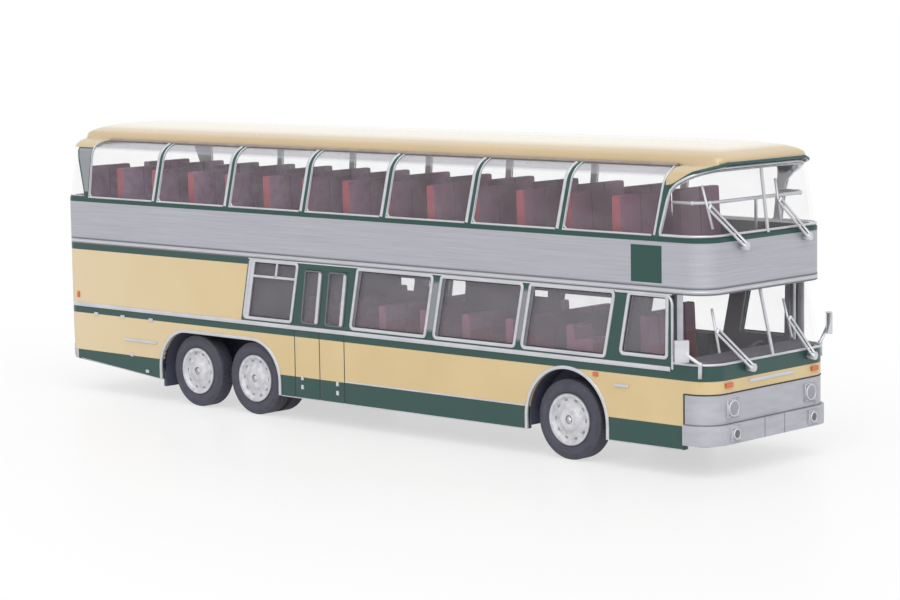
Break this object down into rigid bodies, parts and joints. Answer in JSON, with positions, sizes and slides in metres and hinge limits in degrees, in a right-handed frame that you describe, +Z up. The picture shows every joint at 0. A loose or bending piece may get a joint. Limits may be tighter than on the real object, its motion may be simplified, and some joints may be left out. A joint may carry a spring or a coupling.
{
  "type": "scale model of a double-deck touring coach",
  "caption": "Scale model of a three-axle double-deck touring coach with glazed decks, seats inside, wrap-round windscreens, wipers, mirrors and wheels that roll on steel axles.",
  "frame": {"origin": "on the ground under the middle of the model", "axes": "+X forward, +Y to the coach's left, +Z up"},
  "size_m": [0.1403, 0.0336, 0.046],
  "materials": {
    "cream_paint": "satin",
    "silver_paint": "satin",
    "green_paint": "satin",
    "clear_plastic": "clear",
    "seat_plastic": "matt",
    "inner_plastic": "matt",
    "chassis_plastic": "matt",
    "lamp_lens": "clear over silver",
    "amber_lens": "gloss",
    "red_lens": "gloss",
    "steel": "drawn",
    "rim_paint": "satin",
    "tyre": "matt"
  },
  "bodies": {
    "coach": {"lower_body": "cream_paint", "roof": "cream_paint", "upper_band": "silver_paint", "grille_panel": "silver_paint", "front_bumper": "silver_paint", "rear_bumper": "silver_paint", "windscreen_posts": "silver_paint", "hand_rail": "silver_paint", "mirror_right": "silver_paint", "mirror_left": "silver_paint", "lower_wipers": "silver_paint", "upper_wipers": "silver_paint", "upper_frame": "green_paint", "lower_glazing_right": "clear_plastic", "lower_glazing_left": "clear_plastic", "lower_windscreen": "clear_plastic", "upper_glazing_right": "clear_plastic", "upper_glazing_left": "clear_plastic", "upper_windscreen": "clear_plastic", "upper_rear_window": "clear_plastic", "upper_seats": "seat_plastic", "lower_seats": "seat_plastic", "cab_seats": "seat_plastic", "upper_floor": "inner_plastic", "lower_floor": "inner_plastic", "inner_web": "inner_plastic", "dashboard": "inner_plastic", "steering_wheel": "inner_plastic", "chassis": "chassis_plastic", "wheel_housings": "chassis_plastic", "headlamps": "lamp_lens", "fog_lamps": "lamp_lens", "front_indicators": "amber_lens", "tail_lamps": "red_lens"},
    "front_axle": {"front_axle_shaft": "steel", "front_rims": "rim_paint", "front_tyres": "tyre"},
    "drive_axle": {"drive_axle_shaft": "steel", "drive_rims": "rim_paint", "drive_tyres": "tyre"},
    "tag_axle": {"tag_axle_shaft": "steel", "tag_rims": "rim_paint", "tag_tyres": "tyre"}
  },
  "joints": [
    {"name": "front_axle_roll", "type": "hinge", "parent": "coach", "child": "front_axle", "pos_m": [0.0433, 0, 0.0059], "axis": [0, 1, 0], "continuous": true},
    {"name": "drive_axle_roll", "type": "hinge", "parent": "coach", "child": "drive_axle", "pos_m": [-0.0232, 0, 0.0059], "axis": [0, 1, 0], "continuous": true},
    {"name": "tag_axle_roll", "type": "hinge", "parent": "coach", "child": "tag_axle", "pos_m": [-0.037, 0, 0.0059], "axis": [0, 1, 0], "continuous": true}
  ]
}
